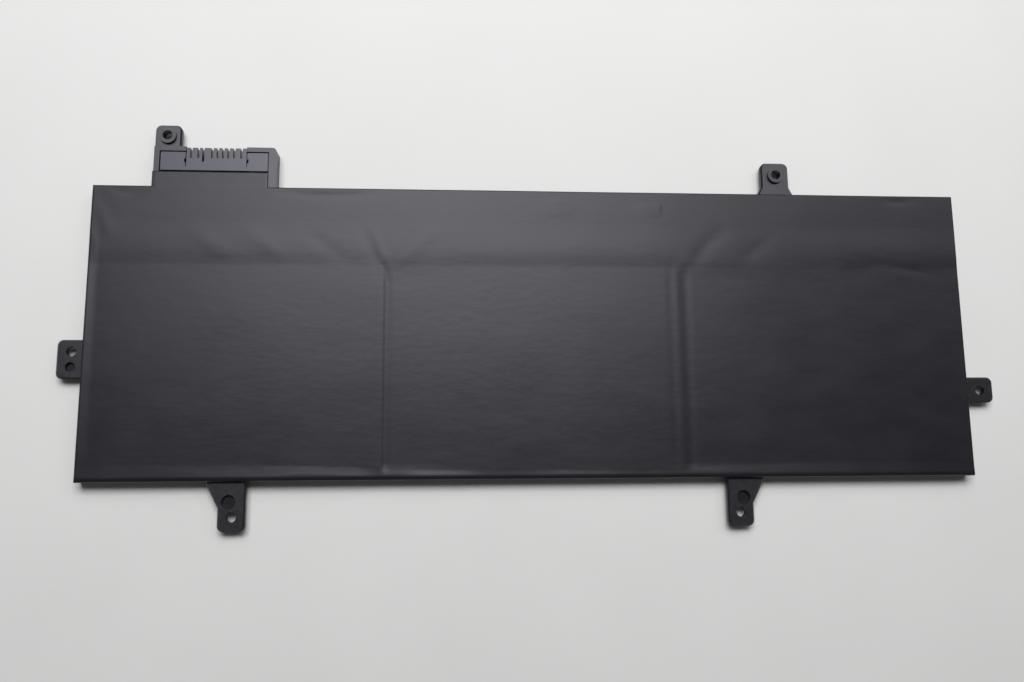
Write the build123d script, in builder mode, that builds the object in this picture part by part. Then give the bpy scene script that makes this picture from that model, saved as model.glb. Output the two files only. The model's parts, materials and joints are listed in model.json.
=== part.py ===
"""Thin internal laptop battery: three pouch cells and a protection board in a moulded frame, under film.

Millimetres. X runs along the pack, Y across it with the circuit board on the +Y side, Z up.
The origin is the middle of the pack's underside.
"""

import os

from build123d import *

# Pack
PACK_LENGTH = 248.0
PACK_WIDTH = 82.0
PACK_THICKNESS = 5.4
FILM = 0.2
GAP = 0.1

# Top film: how far its zones lie below the crest between cells and deck, and where they begin
CELL_DROP = 0.17
DECK_DROP = 0.12
FLAP_DROP = 0.17
GROOVE_DEPTH = 0.35
DIP_DEPTH = 0.12
RIDGE_DROP = 0.04
RIM_DROP = 0.03
DECK_DEPTH = 10.1
CREST_DEPTH = 7.1
FALL_DEPTH = 4.9
SIDE_CLEAR = 1.0
NEAR_CLEAR = 0.8
GROOVE_CLEAR = 0.6
EDGE_RADIUS = 0.45
RIM_RADIUS = 0.8
SOFT_RADIUS = 1.2
CREASE_RADIUS = 0.6
BEND_RADIUS = 5.0
CREST_RADIUS = 20.0
OVERSHOOT = 0.04

# Frame
BAND_HEIGHT = 3.5
RAIL = 1.6
RAIL_CLEAR = 0.4
LIP = 0.9
DIVIDER = 0.8
RIB = 1.0
RIB_CLEAR = 0.4
DIVIDER_DROP = 0.4
TRAY_FLOOR = 0.5
BOARD_RIB = 0.8
PEG_RADIUS = 0.9
PEG_STAND = 0.5

# Screw tabs
TAB_WIDTH = 7.3
TAB_THICKNESS = 1.8
TAB_CORNER = 1.6
TAB_BEVEL = 0.4
SCREW_RADIUS = 1.38
BOSS_RADIUS = 2.3
BOSS_RISE = 0.9
DIMPLE_RADIUS = 1.9
PILOT_RADIUS = 1.35
BLIND_DEPTH = 1.0
LEFT_TAB_WIDTH = 10.7
LEFT_TAB_REACH = 7.2
LEFT_TAB_Y = -7.8
LEFT_HOLE_PITCH = 4.3
RIGHT_TAB_REACH = 8.4
RIGHT_TAB_Y = -16.5
LEFT_HOLE_REACH = 3.4
RIGHT_HOLE_REACH = 4.4
NEAR_TAB_REACH = 13.3
NEAR_HOLE_REACH = 9.4
NEAR_DIMPLE_REACH = 5.4
NEAR_DIMPLE_SHIFT = 0.8
NEAR_LEFT_FROM_END = 40.9
NEAR_RIGHT_FROM_END = 67.7
LONG_FLARE_WIDTH = 3.6
LONG_FLARE_REACH = 7.1
SHORT_FLARE = 0.8
FAR_TAB_WIDTH = 8.2
FAR_TAB_REACH = 10.1
FAR_HOLE_REACH = 6.2
FAR_TAB_FROM_END = 52.9
FAR_FLARE_WIDTH = 1.4
FAR_FLARE_REACH = 2.7
BAY_TAB_REACH = 6.8
BAY_TAB_SHIFT = 3.55
BAY_HOLE_REACH = 3.5

# Connector bay, which stands out of the far edge near the left end
BAY_FROM_END = 15.8
BAY_LENGTH = 34.2
BAY_REACH = 11.7
BAY_SIDE_WALL = 1.8
BAY_RAIL = 2.1
BAY_FRONT_WALL = 1.3
BAY_CORNER = 1.2
BAY_ROOT = 1.2
BAY_FILM_REACH = 4.4
LEDGE = 1.1

# Connector
WING = 0.9
HOUSING_SINK = 0.2
HOUSING_FOOT = 0.5
BLOCK_FROM_BAY = 9.2
BLOCK_LENGTH = 16.6
BLOCK_SET_BACK = 0.3
FILM_TO_HOUSING = 0.4
HOUSING_GAP = 0.3
SEAM_WIDTH = 0.3
SEAM_DEPTH = 0.6
SLOT_WIDTH = 0.62
SLOT_DEPTH = 3.0
KEY_DEPTH = 4.1
SLIT_WIDTH = 0.6
SLIT_LENGTH = 1.2
SLIT_FROM_FRONT = 3.0
POWER_PITCH = 2.0
SIGNAL_PITCH = 1.5
FIRST_POWER = 1.3
KEY_PLACE = 4.6
FIRST_SIGNAL = 7.1
LAST_POWER = 13.2
SIGNALS = 4
CONTACT_SHEET = 0.14
CONTACT_PINCH = 1.3
CONTACT_FLARE = 0.7
CONTACT_RECESS = 0.5
TAIL_WIDTH = 0.4
TAIL_OVERLAP = 1.6

# Cells
TAPE = 0.1
TAPE_MARGIN = 6.0
CELL_SLACK = 0.3
CELL_GAP = 1.8
WIDE_GAP = 5.4
RIB_PLACE = 2.3
GROOVE_PLACE = 0.9
CELL_NEAR_SLACK = 1.8
CELL_EDGE = 1.4
CELL_CORNER = 2.0
CELL_UNDER_BEVEL = 0.5
SEAL = 0.3
SEAL_HEIGHT = 3.2
TERRACE = 3.2
TERRACE_THICKNESS = 0.4
STRIP_WIDTH = 5.0
STRIP_THICKNESS = 0.15
STRIP_SPACING = 32.0
STRIP_OVERLAP = 3.0

# Circuit board
BOARD_THICKNESS = 0.8
BOARD_ROOM = 1.75
BOARD_LEFT_MARGIN = 3.0
BOARD_RIGHT_MARGIN = 1.6
BOARD_DEPTH = 9.6
BOARD_CORNER = 0.8
TONGUE_MARGIN = 1.5
PEG_FROM_EDGE = 1.6
PEG_INSET = 3.0
COMPONENT_BEVEL = 0.1
CHIP_LINE = 6.2
THERMISTOR_LINE = 1.2

# Components on the board: distance from the bay or from the rib, place across the board, and size
BAY_COMPONENTS = {
    "charge_switch": (17.0, CHIP_LINE, (5.0, 4.0, 1.0)),
    "discharge_switch": (24.0, CHIP_LINE, (5.0, 4.0, 1.0)),
    "gauge_chip": (43.0, CHIP_LINE, (5.0, 5.0, 0.9)),
}
RIB_COMPONENTS = {
    "cutoff_fuse": (-33.5, CHIP_LINE, (8.0, 4.4, 1.6)),
    "sense_resistor": (-7.0, CHIP_LINE, (6.4, 3.2, 1.5)),
    "board_thermistor": (10.0, THERMISTOR_LINE, (1.6, 0.8, 0.8)),
}
CAPACITOR = (1.0, 0.5, 0.5)
CAPACITOR_PITCH = 1.8
CAPACITOR_ROW = 5
CAPACITORS_FROM_BAY = 52.0

# Levels
CREST_LEVEL = PACK_THICKNESS
CELL_LEVEL = CREST_LEVEL - CELL_DROP
DECK_LEVEL = CREST_LEVEL - DECK_DROP
FLAP_LEVEL = CREST_LEVEL - FLAP_DROP
GROOVE_LEVEL = CELL_LEVEL - GROOVE_DEPTH
DIP_LEVEL = CELL_LEVEL - DIP_DEPTH
RIDGE_LEVEL = CELL_LEVEL - RIDGE_DROP
RIM_LEVEL = CREST_LEVEL - RIM_DROP
SKIRT_FOOT = BAND_HEIGHT + GAP
TAB_FOOT = BAND_HEIGHT - TAB_THICKNESS
RAIL_TOP = RIM_LEVEL - FILM - RAIL_CLEAR
WALL_TOP = FLAP_LEVEL - FILM - GAP
TRAY_TOP = FILM + TRAY_FLOOR
CELL_FOOT = FILM + TAPE
CELL_TOP = CELL_LEVEL - FILM
BOARD_TOP = DECK_LEVEL - FILM - BOARD_ROOM
BOARD_FOOT = BOARD_TOP - BOARD_THICKNESS
HOUSING_TOP = WALL_TOP - HOUSING_SINK
LEDGE_TOP = HOUSING_TOP - WING

# Places along X: three like cells, the middle one close to the left one
END = PACK_LENGTH / 2
CELL_WIDTH = (PACK_LENGTH - 2 * (RAIL + CELL_SLACK) - CELL_GAP - WIDE_GAP) / 3
CELL_BODY = CELL_WIDTH - 2 * SEAL
RIGHT_CELL_X = END - RAIL - CELL_SLACK - CELL_WIDTH / 2
LEFT_CELL_X = -RIGHT_CELL_X
MIDDLE_CELL_X = LEFT_CELL_X + CELL_WIDTH + CELL_GAP
DIVIDER_X = MIDDLE_CELL_X - CELL_WIDTH / 2 - CELL_GAP / 2
RIB_X = MIDDLE_CELL_X + CELL_WIDTH / 2 + RIB_PLACE
BAY_LEFT = BAY_FROM_END - END
BAY_RIGHT = BAY_LEFT + BAY_LENGTH
BAY_INNER_LEFT = BAY_LEFT + BAY_SIDE_WALL
BAY_INNER_RIGHT = BAY_RIGHT - BAY_RAIL
BLOCK_LEFT = BAY_LEFT + BLOCK_FROM_BAY
BLOCK_RIGHT = BLOCK_LEFT + BLOCK_LENGTH
BOARD_LEFT = RAIL + BOARD_LEFT_MARGIN - END
BOARD_RIGHT = RIGHT_CELL_X + STRIP_SPACING / 2 + STRIP_WIDTH / 2 + BOARD_RIGHT_MARGIN

# Places along Y
EDGE = PACK_WIDTH / 2
DECK_Y = EDGE - DECK_DEPTH
CREST_Y = DECK_Y - CREST_DEPTH
CELL_Y = CREST_Y - FALL_DEPTH
CELL_NEAR = RAIL + CELL_NEAR_SLACK - EDGE
BAY_TOP = EDGE + BAY_REACH
BAY_INNER_TOP = BAY_TOP - BAY_FRONT_WALL
BAY_FILM_Y = EDGE + BAY_FILM_REACH
HOUSING_NEAR = BAY_FILM_Y + FILM_TO_HOUSING
HOUSING_FAR = BAY_INNER_TOP - HOUSING_GAP
BLOCK_FAR = BAY_TOP - BLOCK_SET_BACK
BOARD_FAR = EDGE - RAIL - GAP
BOARD_NEAR = BOARD_FAR - BOARD_DEPTH
TONGUE_FAR = HOUSING_NEAR - GAP

# Film between the rims and the rounded upper edges of the cells: its slopes and grooves
SHOULDER = SEAL + CELL_EDGE
SIDE_SLOPE = RAIL + CELL_SLACK + SHOULDER - SIDE_CLEAR
NEAR_SLOPE = RAIL + CELL_NEAR_SLACK + CELL_EDGE - NEAR_CLEAR
GROOVE_SHOULDER = SHOULDER - GROOVE_CLEAR
LEFT_GROOVE = (DIVIDER_X - CELL_GAP / 2 - GROOVE_SHOULDER, DIVIDER_X + CELL_GAP / 2 + GROOVE_SHOULDER)
RIGHT_GROOVE_X = RIB_X - RIB_PLACE + WIDE_GAP - GROOVE_PLACE
RIGHT_GROOVE = (RIB_X - RIB_PLACE - GROOVE_SHOULDER, RIB_X - RIB_PLACE + WIDE_GAP + GROOVE_SHOULDER)

os.makedirs("parts", exist_ok=True)


def write(part, name):
    """Label a finished piece and write it to its own file."""
    part.label = name
    export_step(part, f"parts/{name}.step")


def span(low, high):
    """Middle and length of a stretch."""
    return (low + high) / 2, high - low


def block(x_range, y_range, z_range, mode=Mode.ADD):
    """Rectangular block between stated limits, joined to the part being built."""
    x_mid, x_size = span(*x_range)
    y_mid, y_size = span(*y_range)
    z_mid, z_size = span(*z_range)
    with Locations((x_mid, y_mid, z_mid)):
        Box(x_size, y_size, z_size, mode=mode)


def groove_form(inset):
    """Space that the grooves between the cells take out of the film, run out at rim and deck."""
    brow = CREST_LEVEL + OVERSHOOT - inset
    shoulder = CELL_LEVEL + OVERSHOOT - inset
    bottom = GROOVE_LEVEL - inset
    dip = (RIB_X - RIB_PLACE / 2, DIP_LEVEL - inset)
    ridge = (RIB_X, RIDGE_LEVEL - inset)
    grooves = (
        (LEFT_GROOVE, [(DIVIDER_X, bottom)]),
        (RIGHT_GROOVE, [dip, ridge, (RIGHT_GROOVE_X, bottom)]),
    )
    deck_run_out = Plane(
        origin=(0, CELL_Y, bottom),
        x_dir=(1, 0, 0),
        z_dir=(0, GROOVE_LEVEL - DECK_LEVEL, DECK_Y - CELL_Y),
    )
    rim_run_out = Plane(
        origin=(0, NEAR_SLOPE - EDGE, bottom),
        x_dir=(1, 0, 0),
        z_dir=(0, RIM_LEVEL - GROOVE_LEVEL, NEAR_SLOPE - RIM_RADIUS),
    )
    with BuildPart() as form:
        with BuildSketch(Plane.XZ.offset(-EDGE)):
            for (low, high), floor in grooves:
                with BuildLine():
                    FilletPolyline(
                        (low - SHOULDER, brow),
                        (low, shoulder),
                        *floor,
                        (high, shoulder),
                        (high + SHOULDER, brow),
                        (high + SHOULDER, brow + GROOVE_DEPTH),
                        (low - SHOULDER, brow + GROOVE_DEPTH),
                        radius=[0, SOFT_RADIUS, *[CREASE_RADIUS] * len(floor), SOFT_RADIUS, 0, 0, 0],
                        close=True,
                    )
                make_face()
        extrude(amount=PACK_WIDTH)
        split(bisect_by=deck_run_out, keep=Keep.TOP)
        split(bisect_by=rim_run_out, keep=Keep.TOP)
    return form.part


def cover_form(inset):
    """Block that bounds the film, with rounded upper edges on the near side and at the ends."""
    top = CREST_LEVEL + OVERSHOOT - inset
    with BuildPart() as form:
        block((inset - END, END - inset), (inset - EDGE, PACK_WIDTH), (0, top))
        upper = faces().sort_by(Axis.Z)[-1].edges().sort_by(Axis.Y)[:-1]
        fillet(upper, RIM_RADIUS - inset)
    return form.part


def film_form(inset):
    """Solid under the top film: its outer skin with inset 0, the space inside with the film's thickness."""
    inside = inset > 0
    foot = SKIRT_FOOT - (GAP if inside else 0)
    edge = EDGE_RADIUS - inset
    bay_left = BAY_LEFT + inset
    bay_right = BAY_RIGHT + GAP if inside else BAY_INNER_RIGHT + GAP
    bay_far = BAY_FILM_Y + (GAP if inside else 0)
    grooves = groove_form(inset)
    cover = cover_form(inset)
    with BuildPart() as form:
        # Section across the pack: slope from the near rim, cells, crest over their far ends, and board deck
        with BuildSketch(Plane.YZ.offset(-PACK_LENGTH)):
            with BuildLine():
                FilletPolyline(
                    (-PACK_WIDTH, foot),
                    (-PACK_WIDTH, RIM_LEVEL - inset),
                    (-EDGE, RIM_LEVEL - inset),
                    (NEAR_SLOPE - EDGE, CELL_LEVEL - inset),
                    (CELL_Y, CELL_LEVEL - inset),
                    (CREST_Y, CREST_LEVEL - inset),
                    (DECK_Y, DECK_LEVEL - inset),
                    (EDGE - inset, DECK_LEVEL - inset),
                    (EDGE - inset, foot),
                    radius=[0, 0, 0, BEND_RADIUS, BEND_RADIUS, CREST_RADIUS, CREST_RADIUS, edge, 0],
                    close=True,
                )
            make_face()
        extrude(amount=2 * PACK_LENGTH)
        # Slopes from the rims at the ends
        with BuildSketch(Plane.XZ.offset(-CREST_Y)):
            for side in (-1, 1):
                with BuildLine():
                    Polyline(
                        (side * PACK_LENGTH, GROOVE_LEVEL - inset),
                        (side * PACK_LENGTH, RIM_LEVEL - inset),
                        (side * END, RIM_LEVEL - inset),
                        (side * (END - SIDE_SLOPE), CELL_LEVEL - OVERSHOOT - inset),
                        (side * (END - SIDE_SLOPE), GROOVE_LEVEL - inset),
                        close=True,
                    )
                make_face()
        extrude(amount=PACK_WIDTH)
        add(cover, mode=Mode.INTERSECT)
        add(grooves, mode=Mode.SUBTRACT)
        # Flap over the board's tongue in the connector bay
        with BuildSketch(Plane.XZ.offset(-bay_far)):
            with BuildLine():
                FilletPolyline(
                    (bay_left, foot),
                    (bay_left, FLAP_LEVEL - inset),
                    (bay_right, FLAP_LEVEL - inset),
                    (bay_right, foot),
                    radius=[0, edge, 0, 0],
                    close=True,
                )
            make_face()
        extrude(amount=bay_far - EDGE + RAIL)
    return form.part


# Top film
film_outside = film_form(0)
film_inside = film_form(FILM)
with BuildPart() as top_film:
    add(film_outside)
    add(film_inside, mode=Mode.SUBTRACT)
write(top_film.part, "top_film")


# Frame
def tab_plane(x, y, outward):
    """Plane of a tab's underside, whose Y axis points out of the pack at the tab's root."""
    out = Vector(*outward, 0)
    return Plane(origin=(x, y, TAB_FOOT), x_dir=out.rotate(Axis.Z, -90), z_dir=(0, 0, 1))


def tab(plane, width, reach, flares=((0, 1), (0, 1))):
    """Screw tab with rounded outer corners, a bevelled upper edge, and flares given as width and reach."""
    (left_flare, left_reach), (right_flare, right_reach) = flares
    side = width / 2
    with BuildPart() as form:
        with BuildSketch(plane):
            with BuildLine():
                Polyline(
                    (-side - left_flare, -RAIL / 2),
                    (-side - left_flare, 0),
                    (-side, left_reach),
                    (-side, reach - TAB_CORNER),
                )
                RadiusArc((-side, reach - TAB_CORNER), (TAB_CORNER - side, reach), TAB_CORNER)
                Line((TAB_CORNER - side, reach), (side - TAB_CORNER, reach))
                RadiusArc((side - TAB_CORNER, reach), (side, reach - TAB_CORNER), TAB_CORNER)
                Polyline(
                    (side, reach - TAB_CORNER),
                    (side, right_reach),
                    (side + right_flare, 0),
                    (side + right_flare, -RAIL / 2),
                    (-side - left_flare, -RAIL / 2),
                )
            make_face()
        extrude(amount=TAB_THICKNESS)
        chamfer(faces().sort_by(Axis.Z)[-1].edges(), TAB_BEVEL)
    return form.part


def boss(plane, place):
    """Raised ring around a screw hole."""
    with BuildSketch(plane.offset(TAB_THICKNESS)) as ring:
        with Locations(place):
            Circle(BOSS_RADIUS)
    extrude(ring.sketch, amount=BOSS_RISE)


def screw_hole(plane, place, top):
    """Screw hole through a tab from its upper face."""
    with Locations(plane.offset(top)):
        with Locations(place):
            Hole(SCREW_RADIUS)


def blind_hole(plane, place, radius):
    """Flat-bottomed locating hole in a tab's upper face."""
    with Locations(plane.offset(TAB_THICKNESS)):
        with Locations(place):
            Hole(radius, depth=BLIND_DEPTH)


BAY_TAB = tab_plane(BAY_LEFT + BAY_TAB_SHIFT, BAY_TOP, (0, 1))
FAR_TAB = tab_plane(END - FAR_TAB_FROM_END, EDGE, (0, 1))
LEFT_TAB = tab_plane(-END, LEFT_TAB_Y, (-1, 0))
RIGHT_TAB = tab_plane(END, RIGHT_TAB_Y, (1, 0))
NEAR_LEFT_TAB = tab_plane(NEAR_LEFT_FROM_END - END, -EDGE, (0, -1))
NEAR_RIGHT_TAB = tab_plane(END - NEAR_RIGHT_FROM_END, -EDGE, (0, -1))
BAY_HOLE = (0, BAY_HOLE_REACH)
FAR_HOLE = (0, FAR_HOLE_REACH)
NEAR_HOLE = (0, NEAR_HOLE_REACH)
far_flare = (FAR_FLARE_WIDTH, FAR_FLARE_REACH)
long_flare = (LONG_FLARE_WIDTH, LONG_FLARE_REACH)
short_flare = (SHORT_FLARE, SHORT_FLARE)
tabs = [
    tab(BAY_TAB, TAB_WIDTH, BAY_TAB_REACH),
    tab(FAR_TAB, FAR_TAB_WIDTH, FAR_TAB_REACH, (far_flare, far_flare)),
    tab(LEFT_TAB, LEFT_TAB_WIDTH, LEFT_TAB_REACH),
    tab(RIGHT_TAB, TAB_WIDTH, RIGHT_TAB_REACH),
    tab(NEAR_LEFT_TAB, TAB_WIDTH, NEAR_TAB_REACH, (short_flare, long_flare)),
    tab(NEAR_RIGHT_TAB, TAB_WIDTH, NEAR_TAB_REACH, (long_flare, short_flare)),
]

PEGS = [
    (BOARD_LEFT + PEG_INSET, BOARD_FAR - PEG_FROM_EDGE),
    (BAY_RIGHT + PEG_INSET, BOARD_FAR - PEG_FROM_EDGE),
    (RIB_X, BOARD_FAR - PEG_FROM_EDGE),
    (BOARD_RIGHT - PEG_INSET, BOARD_FAR - PEG_FROM_EDGE),
]

with BuildPart() as frame:
    # Ring: a lower band flush with the film's skirt and a thinner wall inside the skirt
    block((-END, END), (-EDGE, EDGE), (0, BAND_HEIGHT))
    skirt = FILM + GAP
    block((skirt - END, END - skirt), (skirt - EDGE, EDGE - skirt), (0, RAIL_TOP))
    block((SIDE_SLOPE - END, END - SIDE_SLOPE), (EDGE - RAIL, EDGE - skirt), (0, WALL_TOP))
    # Connector bay
    with BuildSketch():
        with Locations((span(BAY_LEFT, BAY_RIGHT)[0], span(EDGE - RAIL, BAY_TOP)[0])):
            Rectangle(BAY_LENGTH, BAY_REACH + RAIL)
        bay_corner = [v for v in vertices() if v.X > BAY_LEFT + BAY_LENGTH / 2 and v.Y > EDGE]
        fillet(bay_corner, BAY_CORNER)
    extrude(amount=WALL_TOP)
    block((BAY_LEFT, BAY_LEFT + skirt), (EDGE - RAIL, BAY_TOP), (BAND_HEIGHT, WALL_TOP), Mode.SUBTRACT)
    # Rounded root where the bay's right rail runs into the pack's edge
    with BuildSketch() as root:
        with Locations((BAY_RIGHT, EDGE)):
            Rectangle(BAY_ROOT, BAY_ROOT, align=Align.MIN)
        with Locations((BAY_RIGHT + BAY_ROOT, EDGE + BAY_ROOT)):
            Circle(BAY_ROOT, mode=Mode.SUBTRACT)
    extrude(amount=WALL_TOP)
    # Room for the cells and the board
    block((RAIL - END, END - RAIL), (RAIL - EDGE, EDGE - RAIL), (0, WALL_TOP), Mode.SUBTRACT)
    block((LIP - END, END - LIP), (LIP - EDGE, EDGE - LIP), (0, FILM), Mode.SUBTRACT)
    # Tray under the board, with ribs that carry it and pegs that place it
    block((RAIL - END, END - RAIL), (BOARD_NEAR, EDGE - RAIL), (FILM, TRAY_TOP))
    for rib_y in (BOARD_NEAR, BOARD_FAR - BOARD_RIB):
        block((BOARD_LEFT, BOARD_RIGHT), (rib_y, rib_y + BOARD_RIB), (TRAY_TOP, BOARD_FOOT))
    with BuildSketch(Plane.XY.offset(TRAY_TOP)):
        with Locations(*PEGS):
            Circle(PEG_RADIUS)
    extrude(amount=BOARD_TOP + PEG_STAND - TRAY_TOP)
    # Divider between the left cells, and the rib that the film rides over between the right ones
    low_top = GROOVE_LEVEL - FILM - DIVIDER_DROP
    for middle, width in ((DIVIDER_X, DIVIDER), (RIB_X, RIB)):
        block((middle - width / 2, middle + width / 2), (RAIL - EDGE, BOARD_NEAR), (FILM, low_top))
    rib_ends = (CELL_NEAR + SHOULDER, CELL_Y - SHOULDER)
    block((RIB_X - RIB / 2, RIB_X + RIB / 2), rib_ends, (low_top, RIDGE_LEVEL - FILM - RIB_CLEAR))
    # Inside of the bay: floor under the tongue, then ledges that the connector's wings rest on
    bay_inside = (BAY_INNER_LEFT, BAY_INNER_RIGHT)
    block(bay_inside, (EDGE - RAIL, HOUSING_NEAR), (TRAY_TOP, WALL_TOP), Mode.SUBTRACT)
    block(bay_inside, (HOUSING_NEAR, BAY_INNER_TOP), (LEDGE_TOP, WALL_TOP), Mode.SUBTRACT)
    block(
        (BAY_INNER_LEFT + LEDGE, BAY_INNER_RIGHT - LEDGE),
        (HOUSING_NEAR, BAY_INNER_TOP - LEDGE),
        (0, LEDGE_TOP),
        Mode.SUBTRACT,
    )
    block((BLOCK_LEFT - GAP, BLOCK_RIGHT + GAP), (HOUSING_NEAR, BAY_TOP), (0, WALL_TOP), Mode.SUBTRACT)
    # Screw tabs
    for form in tabs:
        add(form)
    boss(BAY_TAB, BAY_HOLE)
    boss(FAR_TAB, FAR_HOLE)
    screw_hole(BAY_TAB, BAY_HOLE, TAB_THICKNESS + BOSS_RISE)
    screw_hole(FAR_TAB, FAR_HOLE, TAB_THICKNESS + BOSS_RISE)
    screw_hole(LEFT_TAB, (LEFT_HOLE_PITCH / 2, LEFT_HOLE_REACH), TAB_THICKNESS)
    screw_hole(RIGHT_TAB, (0, RIGHT_HOLE_REACH), TAB_THICKNESS)
    screw_hole(NEAR_LEFT_TAB, NEAR_HOLE, TAB_THICKNESS)
    screw_hole(NEAR_RIGHT_TAB, NEAR_HOLE, TAB_THICKNESS)
    blind_hole(LEFT_TAB, (-LEFT_HOLE_PITCH / 2, LEFT_HOLE_REACH), PILOT_RADIUS)
    blind_hole(NEAR_LEFT_TAB, (NEAR_DIMPLE_SHIFT, NEAR_DIMPLE_REACH), DIMPLE_RADIUS)
    blind_hole(NEAR_RIGHT_TAB, (-NEAR_DIMPLE_SHIFT, NEAR_DIMPLE_REACH), DIMPLE_RADIUS)
write(frame.part, "frame")


# Bottom film, let into the frame's underside
with BuildPart() as bottom_film:
    film_margin = LIP + GAP
    block((film_margin - END, END - film_margin), (film_margin - EDGE, EDGE - film_margin), (0, FILM))
write(bottom_film.part, "bottom_film")


# Cells with their adhesive sheets and metal tabs
STRIP_LEVEL = BOARD_TOP
TERRACE_FOOT = STRIP_LEVEL - (TERRACE_THICKNESS - STRIP_THICKNESS) / 2
TERRACE_FAR = CELL_Y + TERRACE

CELLS = {"left": LEFT_CELL_X, "middle": MIDDLE_CELL_X, "right": RIGHT_CELL_X}

for name, cell_x in CELLS.items():
    cell_ends = (cell_x - CELL_BODY / 2, cell_x + CELL_BODY / 2)
    with BuildPart() as cell:
        with BuildSketch(Plane.XY.offset(CELL_FOOT)):
            with Locations((cell_x, span(CELL_NEAR, CELL_Y)[0])):
                RectangleRounded(CELL_BODY, CELL_Y - CELL_NEAR, CELL_CORNER)
        extrude(amount=CELL_TOP - CELL_FOOT)
        fillet(faces().sort_by(Axis.Z)[-1].edges(), CELL_EDGE)
        chamfer(faces().sort_by(Axis.Z)[0].edges(), CELL_UNDER_BEVEL)
        # Sealed margins folded against the sides, and the terrace that the tabs come out of
        block(
            (cell_x - CELL_WIDTH / 2, cell_x + CELL_WIDTH / 2),
            (CELL_NEAR + CELL_CORNER, CELL_Y - CELL_CORNER),
            (CELL_FOOT + CELL_UNDER_BEVEL, CELL_FOOT + CELL_UNDER_BEVEL + SEAL_HEIGHT),
        )
        block(
            (cell_ends[0] + CELL_CORNER, cell_ends[1] - CELL_CORNER),
            (CELL_Y - CELL_CORNER, TERRACE_FAR),
            (TERRACE_FOOT, TERRACE_FOOT + TERRACE_THICKNESS),
        )
    write(cell.part, f"cell_{name}")
    with BuildPart() as tape:
        block(
            (cell_ends[0] + TAPE_MARGIN, cell_ends[1] - TAPE_MARGIN),
            (CELL_NEAR + TAPE_MARGIN, CELL_Y - TAPE_MARGIN),
            (FILM, CELL_FOOT),
        )
    write(tape.part, f"tape_{name}")
    for side, pole in ((-1, "plus"), (1, "minus")):
        strip_x = cell_x + side * STRIP_SPACING / 2
        with BuildPart() as strip:
            block(
                (strip_x - STRIP_WIDTH / 2, strip_x + STRIP_WIDTH / 2),
                (TERRACE_FAR, BOARD_NEAR + STRIP_OVERLAP),
                (STRIP_LEVEL, STRIP_LEVEL + STRIP_THICKNESS),
            )
        write(strip.part, f"tab_{name}_{pole}")


# Circuit board with its tongue into the connector bay
with BuildPart() as circuit_board:
    with BuildSketch(Plane.XY.offset(BOARD_FOOT)):
        with Locations((span(BOARD_LEFT, BOARD_RIGHT)[0], span(BOARD_NEAR, BOARD_FAR)[0])):
            RectangleRounded(BOARD_RIGHT - BOARD_LEFT, BOARD_DEPTH, BOARD_CORNER)
        tongue = (BAY_INNER_LEFT + TONGUE_MARGIN, BAY_INNER_RIGHT - TONGUE_MARGIN)
        with Locations((span(*tongue)[0], span(BOARD_NEAR, TONGUE_FAR)[0])):
            Rectangle(tongue[1] - tongue[0], TONGUE_FAR - BOARD_NEAR)
        with Locations(*PEGS):
            Circle(PEG_RADIUS + GAP, mode=Mode.SUBTRACT)
    extrude(amount=BOARD_THICKNESS)
write(circuit_board.part, "circuit_board")


# Components soldered to the board
for start, components in ((BAY_RIGHT, BAY_COMPONENTS), (RIB_X, RIB_COMPONENTS)):
    for name, (along, across, (length, depth, height)) in components.items():
        with BuildPart() as component:
            with BuildSketch(Plane.XY.offset(BOARD_TOP)):
                with Locations((start + along, BOARD_NEAR + across)):
                    Rectangle(length, depth)
            extrude(amount=height)
            chamfer(faces().sort_by(Axis.Z)[-1].edges(), COMPONENT_BEVEL)
        write(component.part, name)

with BuildPart() as filter_capacitors:
    with BuildSketch(Plane.XY.offset(BOARD_TOP)):
        with Locations((BAY_RIGHT + CAPACITORS_FROM_BAY, BOARD_NEAR + CHIP_LINE)):
            with GridLocations(CAPACITOR_PITCH, CAPACITOR_PITCH, CAPACITOR_ROW, 2):
                Rectangle(CAPACITOR[0], CAPACITOR[1])
    extrude(amount=CAPACITOR[2])
write(filter_capacitors.part, "filter_capacitors")


# Connector: thin wings that lie on the bay's ledges, and a block with open slots
POWER_SLOTS = [FIRST_POWER, FIRST_POWER + POWER_PITCH]
SIGNAL_SLOTS = [FIRST_SIGNAL + SIGNAL_PITCH * n for n in range(SIGNALS)]
END_SLOTS = [LAST_POWER, LAST_POWER + POWER_PITCH]
SLOTS = [BLOCK_LEFT + place for place in POWER_SLOTS + SIGNAL_SLOTS + END_SLOTS]
CONTACT_BACK = BLOCK_FAR - SLOT_DEPTH + GAP
TAIL_TOP = BOARD_TOP + CONTACT_SHEET

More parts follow.
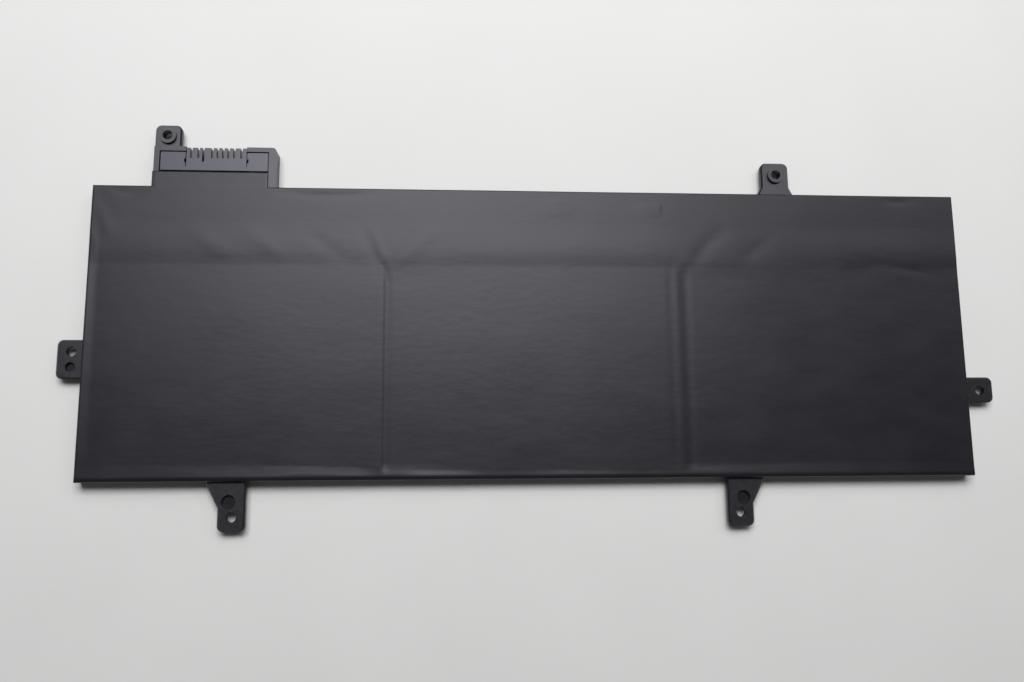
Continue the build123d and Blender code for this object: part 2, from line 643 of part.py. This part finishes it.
with BuildPart() as connector_housing:
    wing_ends = (BAY_INNER_LEFT + HOUSING_GAP, BAY_INNER_RIGHT - HOUSING_GAP)
    block(wing_ends, (HOUSING_NEAR, HOUSING_FAR), (LEDGE_TOP, HOUSING_TOP))
    block((BLOCK_LEFT, BLOCK_RIGHT), (HOUSING_NEAR, BLOCK_FAR), (HOUSING_FOOT, HOUSING_TOP))
    for slot_x in SLOTS:
        slot = (slot_x - SLOT_WIDTH / 2, slot_x + SLOT_WIDTH / 2)
        block(slot, (BLOCK_FAR - SLOT_DEPTH, BLOCK_FAR), (HOUSING_FOOT, HOUSING_TOP), Mode.SUBTRACT)
        # Channel under the block's roof for the contact's tail
        block(slot, (HOUSING_NEAR, BLOCK_FAR), (HOUSING_FOOT, TAIL_TOP + GAP), Mode.SUBTRACT)
    key = (BLOCK_LEFT + KEY_PLACE - SLOT_WIDTH / 2, BLOCK_LEFT + KEY_PLACE + SLOT_WIDTH / 2)
    block(key, (BLOCK_FAR - KEY_DEPTH, BLOCK_FAR), (HOUSING_FOOT, HOUSING_TOP), Mode.SUBTRACT)
    # Seams and slits where the wings leave the block
    slit_far = HOUSING_FAR - SLIT_FROM_FRONT + SLIT_LENGTH
    for edge_x, side in ((BLOCK_LEFT, -1), (BLOCK_RIGHT, 1)):
        slit = sorted((edge_x, edge_x + side * SLIT_WIDTH))
        seam = sorted((edge_x, edge_x + side * SEAM_WIDTH))
        seam_foot = HOUSING_TOP - SEAM_DEPTH
        block(slit, (slit_far - SLIT_LENGTH, slit_far), (0, HOUSING_TOP), Mode.SUBTRACT)
        block(seam, (slit_far - 2 * SLIT_LENGTH, HOUSING_FAR), (seam_foot, HOUSING_TOP), Mode.SUBTRACT)
write(connector_housing.part, "connector_housing")


# Contacts: a strip bent into a fork that pinches a blade, with a tail that lies on the board's tongue
FORK_HALF = SLOT_WIDTH / 2 - GAP / 2 - CONTACT_SHEET / 2
FORK_NEAR = CONTACT_BACK + CONTACT_SHEET / 2
PINCH_Y = BLOCK_FAR - CONTACT_PINCH
for number, slot_x in enumerate(SLOTS, 1):
    with BuildPart() as contact:
        with BuildSketch(Plane.XY.offset(HOUSING_FOOT + CONTACT_RECESS)):
            for side in (-1, 1):
                with BuildLine():
                    Polyline(
                        (slot_x, FORK_NEAR),
                        (slot_x + side * FORK_HALF, FORK_NEAR),
                        (slot_x + side * CONTACT_SHEET / 2, PINCH_Y),
                        (slot_x + side * FORK_HALF, PINCH_Y + CONTACT_FLARE),
                    )
                trace(line_width=CONTACT_SHEET)
        extrude(amount=HOUSING_TOP - HOUSING_FOOT - 2 * CONTACT_RECESS)
        block(
            (slot_x - TAIL_WIDTH / 2, slot_x + TAIL_WIDTH / 2),
            (TONGUE_FAR - TAIL_OVERLAP, FORK_NEAR),
            (BOARD_TOP, TAIL_TOP),
        )
    write(contact.part, f"contact_{number}")
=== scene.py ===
"""Looks of a thin laptop battery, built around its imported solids.

Lengths are in millimetres, and MM turns them into Blender's metres where a mesh or a lamp is made.
"""

import json
import math

import bpy
import numpy as np
from mathutils import Euler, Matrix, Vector


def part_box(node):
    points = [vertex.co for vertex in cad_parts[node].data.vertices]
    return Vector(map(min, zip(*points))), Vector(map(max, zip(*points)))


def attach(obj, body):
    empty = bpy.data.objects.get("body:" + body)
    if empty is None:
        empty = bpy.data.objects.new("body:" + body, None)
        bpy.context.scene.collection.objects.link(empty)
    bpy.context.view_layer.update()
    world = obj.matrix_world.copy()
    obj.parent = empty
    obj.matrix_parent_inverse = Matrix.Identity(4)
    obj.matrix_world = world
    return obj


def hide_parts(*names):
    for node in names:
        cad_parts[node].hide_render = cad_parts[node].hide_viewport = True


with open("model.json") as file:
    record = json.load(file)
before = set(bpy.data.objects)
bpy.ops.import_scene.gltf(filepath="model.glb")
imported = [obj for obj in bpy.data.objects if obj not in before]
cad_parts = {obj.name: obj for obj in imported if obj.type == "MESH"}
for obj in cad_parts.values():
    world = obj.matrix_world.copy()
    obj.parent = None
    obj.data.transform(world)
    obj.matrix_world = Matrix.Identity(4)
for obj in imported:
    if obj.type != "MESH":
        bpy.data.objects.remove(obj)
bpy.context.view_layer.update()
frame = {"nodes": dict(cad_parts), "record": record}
nodes = frame["nodes"]

MM = 0.001


def box_mm(node):
    """Lowest and highest corner of a node, in millimetres."""
    low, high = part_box(node)
    return low / MM, high / MM


# Film: outline and levels. Its body is even about the pack's middle, and its flap reaches past the far edge
FILM_LOW, FILM_HIGH = box_mm("top_film")
LEFT, RIGHT = FILM_LOW.x, FILM_HIGH.x
NEAR, FAR = FILM_LOW.y, -FILM_LOW.y
FLAP_FAR = FILM_HIGH.y
FLAP_LEFT = -108.2
FLAP_RIGHT = -76.0
FILM_THICKNESS = 0.1
FOOT_Z = FILM_LOW.z
TOP_Z = FILM_HIGH.z
SOFT_LIMIT = 0.03
CELL_DROP = 0.21
FLAP_DROP = 0.05
FLAP_SOFT = 1.5

# Film: slope across the pack, as (place along Y, rise for each millimetre)
DRAPE = (
    (18.2, 0.0), (19.3, 0.042), (21.0, 0.04), (23.8, 0.0), (26.5, -0.012), (30.6, -0.012), (31.4, 0.0),
)
CREST_Y = 23.8
DECK_Y = 31.0

# Film: share of that slope, and sag of the deck, as (place along X, value)
CREST_SHARE = (
    (-124.0, 1.0), (-52.0, 0.9), (-43.0, 0.6), (-33.0, 0.65), (-15.0, 1.0), (36.0, 1.0), (44.0, 0.7),
    (62.0, 0.55), (80.0, 0.8), (100.0, 1.0), (124.0, 1.0),
)
DECK_SAG = (
    (-124.0, 0.02), (-95.0, 0.08), (-60.0, 0.03), (-18.0, -0.03), (12.0, 0.07), (45.0, 0.03), (68.0, 0.02),
    (100.0, 0.08), (124.0, 0.03),
)

# Film: rims, as (place along the edge, width of the slope inside the rim, rise to the rim).
# The slope's height goes with the power RIM_BEND of the place on it
NEAR_RIM = (
    (-124.0, 3.4, 0.11), (-107.0, 3.4, 0.13), (-80.0, 3.2, 0.18), (-66.0, 3.0, 0.24), (-52.0, 2.6, 0.21),
    (-43.0, 1.6, 0.04), (-40.0, 1.6, 0.06), (-32.0, 1.5, 0.15), (-22.0, 1.4, 0.13), (-14.0, 1.2, 0.03),
    (-6.0, 1.2, 0.03), (8.0, 1.3, 0.09), (18.0, 1.1, 0.07), (26.0, 1.0, 0.03), (40.0, 1.2, 0.03),
    (47.0, 1.8, 0.08), (60.0, 2.4, 0.1), (78.0, 3.0, 0.14), (105.0, 2.8, 0.13), (124.0, 2.6, 0.11),
)
LEFT_RIM = ((-41.0, 2.6, 0.16), (14.0, 2.2, 0.19), (20.0, 2.4, 0.13), (32.0, 2.0, 0.05), (41.0, 1.6, 0.02))
RIGHT_RIM = ((-41.0, 3.0, 0.04), (14.0, 3.0, 0.03), (24.0, 3.0, 0.01), (41.0, 2.0, 0.0))
RIM_BEND = 1.2

# Film: widths of the rounded outer edges, and how far they fall
NEAR_EDGE = 1.2
SIDE_EDGE = 0.45
FAR_EDGE = 0.45
EDGE_DROP = 0.8

# Film: grooves between the cells, as marks of (place along X, drop). Each bends aside at its far end
LEFT_GROOVE = ((-43.6, 0.0), (-42.4, 0.2), (-40.2, 0.1), (-15.0, 0.0))
LEFT_BEND_FROM = 13.0
LEFT_BEND = -0.028
RIGHT_GROOVE = (
    (36.2, 0.0), (38.2, 0.04), (39.8, 0.01), (42.6, 0.16), (44.8, 0.11), (75.0, 0.05), (124.0, 0.0),
)
RIGHT_BEND_FROM = 17.0
RIGHT_BEND = 0.065
GROOVE_NEAR = -39.6
GROOVE_FADE = 3.0
GROOVE_FAR = 21.0
GROOVE_RUN_OUT = 6.0

# Film: folds, as (points, half width, height), full in the middle and gone at both ends.
# FOLD_HOLD over 2 keeps a stretch in the middle at full height
FOLDS = (
    (((-100.0, 30.6), (-91.0, 24.6), (-82.0, 18.6)), 2.3, 0.06),
    (((-85.0, 30.4), (-76.0, 24.4), (-67.5, 18.8)), 2.3, 0.06),
    (((-67.5, 30.0), (-59.5, 24.0), (-51.0, 18.6)), 2.0, -0.07),
    (((-41.8, 13.0), (-43.2, 21.0), (-45.2, 26.0), (-48.5, 33.0)), 1.3, 0.055),
    (((-44.1, 12.5), (-45.5, 20.2), (-47.5, 25.2), (-50.9, 32.0)), 1.3, -0.06),
    (((-41.0, 17.0), (-34.5, 23.4), (-28.5, 28.6), (-24.0, 32.0)), 1.8, 0.05),
    (((43.4, 15.0), (46.0, 21.4), (50.0, 26.4), (58.0, 32.0)), 2.4, -0.11),
    (((57.0, 19.0), (63.0, 23.8), (70.5, 29.0)), 2.0, -0.06),
    (((124.0, 15.2), (114.0, 17.6), (105.0, 19.6), (90.0, 20.9)), 1.2, -0.05),
    (((-124.0, 41.0), (-122.4, 35.0), (-119.8, 29.6), (-115.5, 24.0)), 1.8, 0.05),
    (((-76.0, 39.8), (-67.0, 39.0), (-60.0, 38.6), (-52.0, 39.0), (-42.0, 39.8)), 1.1, -0.1),
    (((-120.5, 39.8), (-114.0, 38.8), (-107.5, 39.8)), 1.1, -0.07),
    (((114.0, 39.8), (107.0, 39.0), (100.0, 39.8)), 1.1, -0.07),
)
FOLD_HOLD = 2.4

# Film: slow waves, as (wave length, direction in degrees, phase, height)
WAVES = (
    (41.0, 18.0, 0.4, 0.016), (29.0, 104.0, 2.1, 0.010), (23.0, 66.0, 4.0, 0.008),
    (17.0, 152.0, 1.2, 0.005), (12.5, 86.0, 3.3, 0.003),
)

# Film: components that print through it
EMBOSSED = ("cutoff_fuse", "sense_resistor")
EMBOSS_HEIGHT = 0.05
EMBOSS_SOFT = 0.9

# Film: spacing of the mesh, as (start, end, spacing), and lines over a rounded edge, as shares of its width
EDGE_STEPS = (0.0, 0.02, 0.08, 0.2, 0.38, 0.6, 0.8, 1.0)
ACROSS = (
    (LEFT + 0.8, LEFT + 6, 0.5), (LEFT + 6, -100, 1.1), (-100, -62, 1.0), (-62, -46, 0.7), (-46, -38, 0.3),
    (-38, -20, 0.8), (-20, 34, 1.4), (34, 47, 0.4), (47, 74, 0.7), (74, RIGHT - 6, 1.2),
    (RIGHT - 6, RIGHT - 0.8, 0.5),
)
ALONG = (
    (NEAR + 1.6, NEAR + 7, 0.3), (NEAR + 7, 17, 1.2), (17, 22, 0.3), (22, 32, 0.5), (32, FAR - 4, 0.8),
    (FAR - 4, FAR - 0.5, 0.3), (FAR, FLAP_FAR - 0.5, 0.6),
)

# Camera and floor
CAMERA_PLACE = (-24.45, -40.75, 248.72)
CAMERA_TURN = (8.874, -3.926, -0.476)
CAMERA_LENS = 31.06
CAMERA_NEAR = 10.0
SENSOR_WIDTH = 36.0
FLOOR_SIZE = 2400.0
FLOOR_DROP = 0.05

# Lamps, as name: (place along X and Y, size, brightness of the face). They hang at one height and shine down
LAMP_HEIGHT = 700.0
LAMPS = {
    "window": ((-60.0, 530.0), (560.0, 820.0), 2.2),
    "window_core": ((-50.0, 330.0), (560.0, 310.0), 6.85),
    "side_lamp": ((580.0, 465.0), (500.0, 420.0), 2.0),
}
ROOM_LIGHT = 0.07
SEEN_LIGHT = 0.8

# Tints of the highlights
WHITE = (1.0, 1.0, 1.0)
COOL = (0.92, 0.905, 1.0)

# Heights between which the frame's highlights go from dimmed to full level: painted shade on the faces lower
# down, where its recesses lie
SHADED_RECESS_LEVELS = (2.9, 3.35)

# Noise values between which a surface goes from its first colour and roughness to its second
MOTTLE = (0.3, 0.7)

# Surfaces of the record's slots and of the table, with what surface() takes for each
SURFACES = {
    "film": dict(
        colours=((0.0125, 0.0128, 0.016), (0.0155, 0.0158, 0.0195)), roughness=(0.33, 0.37),
        speckle=(6.0, 4.0), bump=(1.8, 2.0, 0.026), stretch=(0.45, 1.0, 1.0), level=0.45, tint=COOL,
    ),
    # The frame's highlights are dimmed below the tabs' faces, as painted shade in its recesses
    "frame_plastic": dict(
        colours=((0.010, 0.0104, 0.0125), (0.015, 0.0154, 0.0185)), roughness=(0.3, 0.38),
        speckle=(0.8, 4.0), bump=(0.25, 2.0, 0.005), level=0.7, tint=COOL, recess_shade=0.4,
    ),
    "connector_plastic": dict(
        colours=((0.04, 0.043, 0.056), (0.052, 0.056, 0.071)), roughness=(0.3, 0.38),
        speckle=(0.25, 3.0), bump=(0.3, 2.0, 0.006), level=0.52, tint=COOL,
    ),
    "pouch": dict(
        colours=((0.66, 0.67, 0.69), (0.76, 0.77, 0.79)), roughness=(0.3, 0.45),
        speckle=(9.0, 6.0), bump=(4.0, 5.0, 0.02), metallic=1.0,
    ),
    "tape": dict(
        colours=((0.8, 0.8, 0.77), (0.87, 0.87, 0.84)), roughness=(0.5, 0.62),
        speckle=(3.0, 4.0), bump=(1.2, 3.0, 0.006),
    ),
    "tab_metal": dict(
        colours=((0.66, 0.64, 0.6), (0.76, 0.74, 0.7)), roughness=(0.24, 0.38),
        speckle=(0.7, 4.0), bump=(0.5, 3.0, 0.002), metallic=1.0, stretch=(1.0, 0.08, 1.0),
    ),
    "board": dict(
        colours=((0.012, 0.07, 0.035), (0.022, 0.115, 0.06)), roughness=(0.3, 0.4),
        speckle=(1.6, 5.0), bump=(0.5, 3.0, 0.006),
    ),
    "chip": dict(
        colours=((0.022, 0.022, 0.024), (0.036, 0.036, 0.038)), roughness=(0.42, 0.55),
        speckle=(0.25, 3.0), bump=(0.12, 2.0, 0.003),
    ),
    "fuse_ceramic": dict(
        colours=((0.74, 0.73, 0.68), (0.84, 0.83, 0.78)), roughness=(0.32, 0.42),
        speckle=(0.9, 4.0), bump=(0.3, 2.0, 0.003),
    ),
    "capacitor_ceramic": dict(
        colours=((0.42, 0.31, 0.2), (0.54, 0.42, 0.29)), roughness=(0.36, 0.48),
        speckle=(0.35, 4.0), bump=(0.15, 2.0, 0.002),
    ),
    "contact_metal": dict(
        colours=((0.06, 0.054, 0.045), (0.09, 0.08, 0.066)), roughness=(0.34, 0.46),
        speckle=(0.4, 4.0), bump=(0.2, 2.0, 0.001), metallic=1.0,
    ),
    "table": dict(
        colours=((0.805, 0.805, 0.8), (0.83, 0.83, 0.825)), roughness=(0.6, 0.7),
        speckle=(40.0, 5.0), bump=(3.0, 3.0, 0.002), level=0.2,
    ),
}


def ease(t):
    """Smooth step from 0 to 1."""
    t = np.clip(t, 0.0, 1.0)
    return t * t * (3.0 - 2.0 * t)


def crossing(distance, width):
    """Smooth step over a line, by the distance past it."""
    return ease(distance / width + 0.5)


def through(marks, x):
    """Smooth line through marks of (place, value), level at each mark."""
    places = np.array([m[0] for m in marks])
    values = np.array([m[1] for m in marks])
    i = np.clip(np.searchsorted(places, x) - 1, 0, len(places) - 2)
    t = ease((x - places[i]) / (places[i + 1] - places[i]))
    return values[i] + (values[i + 1] - values[i]) * t


def fold_height(x, y, points, width, height):
    """Height of one fold: full in its middle, gone at its ends."""
    points = np.array(points)
    runs = np.diff(points, axis=0)
    lengths = np.hypot(runs[:, 0], runs[:, 1])
    starts = np.concatenate(([0.0], np.cumsum(lengths)))
    nearest = np.full(x.shape, np.inf)
    along = np.zeros(x.shape)
    for (px, py), (rx, ry), length, start in zip(points, runs, lengths, starts):
        t = np.clip(((x - px) * rx + (y - py) * ry) / length ** 2, 0.0, 1.0)
        distance = np.hypot(x - px - t * rx, y - py - t * ry)
        along = np.where(distance < nearest, (start + t * length) / starts[-1], along)
        nearest = np.minimum(distance, nearest)
    swell = ease(FOLD_HOLD * along) * ease(FOLD_HOLD * (1.0 - along))
    return height * swell * np.exp(-((nearest / width) ** 2))


def drape(x, y):
    """Height across the pack: cells, crest over their far ends, deck and flap."""
    places, slopes = np.array(DRAPE).T
    rises = np.concatenate(([0.0], np.cumsum(np.diff(places) * (slopes[1:] + slopes[:-1]) / 2)))
    i = np.clip(np.searchsorted(places, y) - 1, 0, len(places) - 2)
    run = np.clip(y - places[i], 0.0, places[i + 1] - places[i])
    bend = (slopes[i + 1] - slopes[i]) / (places[i + 1] - places[i])
    rise = rises[i] + slopes[i] * run + bend * run ** 2 / 2
    sag = through(DECK_SAG, x) * ease((y - CREST_Y) / (DECK_Y - CREST_Y))
    flap = FLAP_DROP * crossing(y - FAR, FLAP_SOFT)
    return TOP_Z - CELL_DROP + rise * through(CREST_SHARE, x) - sag - flap


def relief(x, y):
    """What the folds, the slow waves and the components under the film add to its height."""
    z = np.zeros(x.shape)
    for points, width, height in FOLDS:
        z += fold_height(x, y, points, width, height)
    for length, turn, phase, height in WAVES:
        angle = math.radians(turn)
        z += height * np.sin(2 * math.pi * (x * math.cos(angle) + y * math.sin(angle)) / length + phase)
    for node in EMBOSSED:
        low, high = box_mm(node)
        inside_x = crossing(x - low.x, EMBOSS_SOFT) * crossing(high.x - x, EMBOSS_SOFT)
        inside_y = crossing(y - low.y, EMBOSS_SOFT) * crossing(high.y - y, EMBOSS_SOFT)
        z += EMBOSS_HEIGHT * inside_x * inside_y
    return z


def from_edge(distance, width):
    """1 at an outer edge, falling to 0 where its rounding ends."""
    return np.clip(1.0 - distance / width, 0.0, 1.0)


def rim(distance, place, marks, edge):
    """Height that one edge's rim adds, by the distance in from the outer edge and the place along it."""
    width = through([mark[:2] for mark in marks], place)
    rise = through([(mark[0], mark[2]) for mark in marks], place)
    return rise * from_edge(np.maximum(distance - edge, 0.0), width) ** RIM_BEND


def groove(x, y, marks, bend_from, bend):
    """Depth of one groove, which fades at the near rim, bends aside and runs out at the cells' far ends."""
    aside = bend * np.maximum(y - bend_from, 0.0) ** 2
    near_end = ease((y - GROOVE_NEAR) / GROOVE_FADE)
    far_end = ease((GROOVE_FAR - y) / GROOVE_RUN_OUT)
    return through(marks, x - aside) * far_end * near_end


def limited(z):
    """Height that levels off just under the pack's top."""
    over = np.maximum(z - TOP_Z + SOFT_LIMIT, 0.0)
    return np.where(over > 0.0, TOP_Z - SOFT_LIMIT * np.exp(-over / SOFT_LIMIT), z)


def film_height(x, y):
    """Height of the film's face, before its outer edge is rounded."""
    z = drape(x, y) + relief(x, y)
    z = z - groove(x, y, LEFT_GROOVE, LEFT_BEND_FROM, LEFT_BEND)
    z = z - groove(x, y, RIGHT_GROOVE, RIGHT_BEND_FROM, RIGHT_BEND)
    near = rim(y - NEAR, x, NEAR_RIM, NEAR_EDGE)
    left = rim(x - LEFT, y, LEFT_RIM, SIDE_EDGE)
    right = rim(RIGHT - x, y, RIGHT_RIM, SIDE_EDGE)
    return limited(z + np.maximum(near, np.maximum(left, right)))


def edge_fall(x, y):
    """How far the rounded outer edges of the film's body and of its flap lie below its face."""
    body = np.maximum(from_edge(x - LEFT, SIDE_EDGE), from_edge(RIGHT - x, SIDE_EDGE))
    body = np.maximum(body, np.maximum(from_edge(y - NEAR, NEAR_EDGE), from_edge(FAR - y, FAR_EDGE)))
    flap = np.maximum(from_edge(x - FLAP_LEFT, FAR_EDGE), from_edge(FLAP_RIGHT - x, FAR_EDGE))
    flap = np.maximum(flap, from_edge(FLAP_FAR - y, FAR_EDGE))
    turn = np.where(y > CREST_Y, np.minimum(body, flap), body)
    drop = EDGE_DROP + (FAR_EDGE - EDGE_DROP) * ease((y - CREST_Y) / (DECK_Y - CREST_Y))
    return drop * (1.0 - np.sqrt(1.0 - turn ** 2))


def grid_lines(stretches, *edges):
    """Sorted lines over stretches of (start, end, spacing) and over edges of (place, width inwards)."""
    marks = [np.linspace(a, b, max(2, round((b - a) / step) + 1)) for a, b, step in stretches]
    marks += [place + width * np.array(EDGE_STEPS) for place, width in edges]
    return np.unique(np.round(np.concatenate(marks), 2))


def film_mesh():
    """Film as one sheet: a grid over its outline, its rounded edge, and a skirt down to its foot."""
    body_sides = (LEFT, SIDE_EDGE), (RIGHT, -SIDE_EDGE)
    flap_sides = (FLAP_LEFT, FAR_EDGE), (FLAP_RIGHT, -FAR_EDGE)
    xs = grid_lines(ACROSS, *body_sides, *flap_sides)
    ys = grid_lines(ALONG, (NEAR, NEAR_EDGE), (FAR, -FAR_EDGE), (FLAP_FAR, -FAR_EDGE))
    mid_x = (xs[1:] + xs[:-1]) / 2
    mid_y = (ys[1:] + ys[:-1]) / 2
    in_flap = (mid_x > FLAP_LEFT) & (mid_x < FLAP_RIGHT)
    rows, cols = np.nonzero((mid_y[:, None] < FAR) | in_flap[None, :])
    x, y = (lines.ravel() for lines in np.meshgrid(xs, ys))
    z = film_height(x, y) - edge_fall(x, y)
    columns = len(xs)
    first = rows * columns + cols
    quads = np.stack([first, first + 1, first + columns + 1, first + columns], axis=1)
    return skirted(np.stack([x, y, z], axis=1), quads)


def skirted(points, quads):
    """Points and faces of a sheet with a skirt hung from its outline, without unused points."""
    edges = np.stack([quads, np.roll(quads, -1, axis=1)], axis=2).reshape(-1, 2)
    both = set(map(tuple, edges.tolist()))
    border = [e for e in both if (e[1], e[0]) not in both]
    feet = {v: len(points) + n for n, v in enumerate(sorted({v for e in border for v in e}))}
    low = points[list(feet)].copy()
    low[:, 2] = FOOT_Z
    points = np.concatenate([points, low])
    skirt = np.array([(b, a, feet[a], feet[b]) for a, b in border])
    faces = np.concatenate([quads, skirt])
    kept, faces = np.unique(faces, return_inverse=True)
    return points[kept], faces.reshape(-1, 4)


def new_object(name, points, faces):
    """Smooth mesh object from points in millimetres."""
    mesh = bpy.data.meshes.new(name)
    mesh.from_pydata((points * MM).tolist(), [], faces.tolist())
    mesh.polygons.foreach_set("use_smooth", [True] * len(mesh.polygons))
    piece = bpy.data.objects.new(name, mesh)
    bpy.context.scene.collection.objects.link(piece)
    return piece


def apply_modifiers(piece):
    """Turns the piece's modifiers into mesh."""
    graph = bpy.context.evaluated_depsgraph_get()
    mesh = bpy.data.meshes.new_from_object(piece.evaluated_get(graph))
    piece.modifiers.clear()
    piece.data = mesh


def make_film():
    """Drawn film over the cells and the board, which stands for the plain solid."""
    points, faces = film_mesh()
    piece = new_object("drawn_film", points, faces)
    solid = piece.modifiers.new("thickness", "SOLIDIFY")
    solid.thickness = FILM_THICKNESS * MM
    solid.offset = -1.0
    apply_modifiers(piece)
    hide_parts("top_film")
    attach(piece, "root")
    return piece


def surface(
    name, colours, roughness, speckle, bump,
    metallic=0.0, stretch=(1.0, 1.0, 1.0), level=0.5, tint=WHITE, recess_shade=1.0,
):
    """Node material: mottled colour and roughness at one scale, and bump at another.

    speckle is the mottling's (size, detail), and bump is (size, detail, height). level and tint
    are those of the highlights, and recess_shade is the share of level left below the tabs' faces, which
    dims the highlights there as painted shade.
    """
    made = bpy.data.materials.new(name)
    made.use_nodes = True
    tree = made.node_tree
    shader = tree.nodes["Principled BSDF"]
    shader.inputs["Metallic"].default_value = metallic
    shader.inputs["Specular IOR Level"].default_value = level
    shader.inputs["Specular Tint"].default_value = (*tint, 1.0)
    place = tree.nodes.new("ShaderNodeTexCoord")
    scale = tree.nodes.new("ShaderNodeMapping")
    scale.inputs["Scale"].default_value = stretch
    tree.links.new(place.outputs["Object"], scale.inputs["Vector"])

    def noise(size, detail):
        node = tree.nodes.new("ShaderNodeTexNoise")
        node.inputs["Scale"].default_value = 1.0 / (size * MM)
        node.inputs["Detail"].default_value = detail
        tree.links.new(scale.outputs["Vector"], node.inputs["Vector"])
        return node.outputs["Fac"]

    # Painted shade: the highlights are dimmed on faces below the tabs' level, where the frame's recesses lie
    if recess_shade < 1.0:
        height = tree.nodes.new("ShaderNodeSeparateXYZ")
        recess_dimming = tree.nodes.new("ShaderNodeMapRange")
        for socket, value in zip(("From Min", "From Max"), SHADED_RECESS_LEVELS):
            recess_dimming.inputs[socket].default_value = value * MM
        recess_dimming.inputs["To Min"].default_value = level * recess_shade
        recess_dimming.inputs["To Max"].default_value = level
        tree.links.new(place.outputs["Object"], height.inputs["Vector"])
        tree.links.new(height.outputs["Z"], recess_dimming.inputs["Value"])
        tree.links.new(recess_dimming.outputs["Result"], shader.inputs["Specular IOR Level"])
    fine = noise(*speckle)
    ramp = tree.nodes.new("ShaderNodeValToRGB")
    for stop, value, colour in zip(ramp.color_ramp.elements, MOTTLE, colours):
        stop.position = value
        stop.color = (*colour, 1.0)
    tree.links.new(fine, ramp.inputs["Fac"])
    tree.links.new(ramp.outputs["Color"], shader.inputs["Base Color"])
    spread = tree.nodes.new("ShaderNodeMapRange")
    for socket, value in zip(("From Min", "From Max", "To Min", "To Max"), (*MOTTLE, *roughness)):
        spread.inputs[socket].default_value = value
    tree.links.new(fine, spread.inputs["Value"])
    tree.links.new(spread.outputs["Result"], shader.inputs["Roughness"])
    *grain, grain_height = bump
    grain_node = tree.nodes.new("ShaderNodeBump")
    grain_node.inputs["Strength"].default_value = 1.0
    grain_node.inputs["Distance"].default_value = grain_height * MM
    tree.links.new(noise(*grain), grain_node.inputs["Height"])
    tree.links.new(grain_node.outputs["Normal"], shader.inputs["Normal"])
    return made


def dress(film):
    """Puts each slot's material on the nodes that the record gives it to, and the film's on the film."""
    materials = {}
    for part in frame["record"]["subparts"]:
        slot = part["material_slot"]
        if slot not in materials:
            materials[slot] = surface(slot, **SURFACES[slot])
        node = nodes[part["node"]]
        node.data.materials.clear()
        node.data.materials.append(materials[slot])
    film.data.materials.append(materials["film"])


def make_floor():
    """Plain pale table under the pack."""
    half = FLOOR_SIZE / 2
    corners = ((-half, -half), (half, -half), (half, half), (-half, half))
    points = np.array([(x, y, -FLOOR_DROP) for x, y in corners])
    floor = new_object("table", points, np.array([(0, 1, 2, 3)]))
    floor.data.materials.append(surface("table", **SURFACES["table"]))


def make_lamp(name, place, size, brightness):
    """Soft rectangular lamp that isn't seen itself. Its power follows from the brightness of its face."""
    data = bpy.data.lights.new(name, "AREA")
    data.shape = "RECTANGLE"
    data.size = size[0] * MM
    data.size_y = size[1] * MM
    data.energy = brightness * math.pi * data.size * data.size_y
    lamp = bpy.data.objects.new(name, data)
    lamp.location = Vector((*place, LAMP_HEIGHT)) * MM
    lamp.visible_camera = False
    bpy.context.scene.collection.objects.link(lamp)


def make_world():
    """Dim room around the pack, pale where the camera looks past the table."""
    world = bpy.data.worlds.new("room")
    bpy.context.scene.world = world
    world.use_nodes = True
    tree = world.node_tree
    sky = tree.nodes["Background"]
    sky.inputs["Color"].default_value = (*WHITE, 1.0)
    seen = tree.nodes.new("ShaderNodeLightPath")
    strength = tree.nodes.new("ShaderNodeMapRange")
    strength.inputs["To Min"].default_value = ROOM_LIGHT
    strength.inputs["To Max"].default_value = SEEN_LIGHT
    tree.links.new(seen.outputs["Is Camera Ray"], strength.inputs["Value"])
    tree.links.new(strength.outputs["Result"], sky.inputs["Strength"])


def make_camera():
    """Camera close above the pack, at the near edge."""
    data = bpy.data.cameras.new("camera")
    data.sensor_width = SENSOR_WIDTH
    data.lens = CAMERA_LENS
    data.clip_start = CAMERA_NEAR * MM
    camera = bpy.data.objects.new("camera", data)
    camera.location = Vector(CAMERA_PLACE) * MM
    camera.rotation_euler = Euler([math.radians(turn) for turn in CAMERA_TURN], "XYZ")
    bpy.context.scene.collection.objects.link(camera)
    bpy.context.scene.camera = camera


dress(make_film())
make_floor()
for lamp_name, lamp in LAMPS.items():
    make_lamp(lamp_name, *lamp)
make_world()
make_camera()
bpy.context.scene.view_settings.view_transform = "Standard"
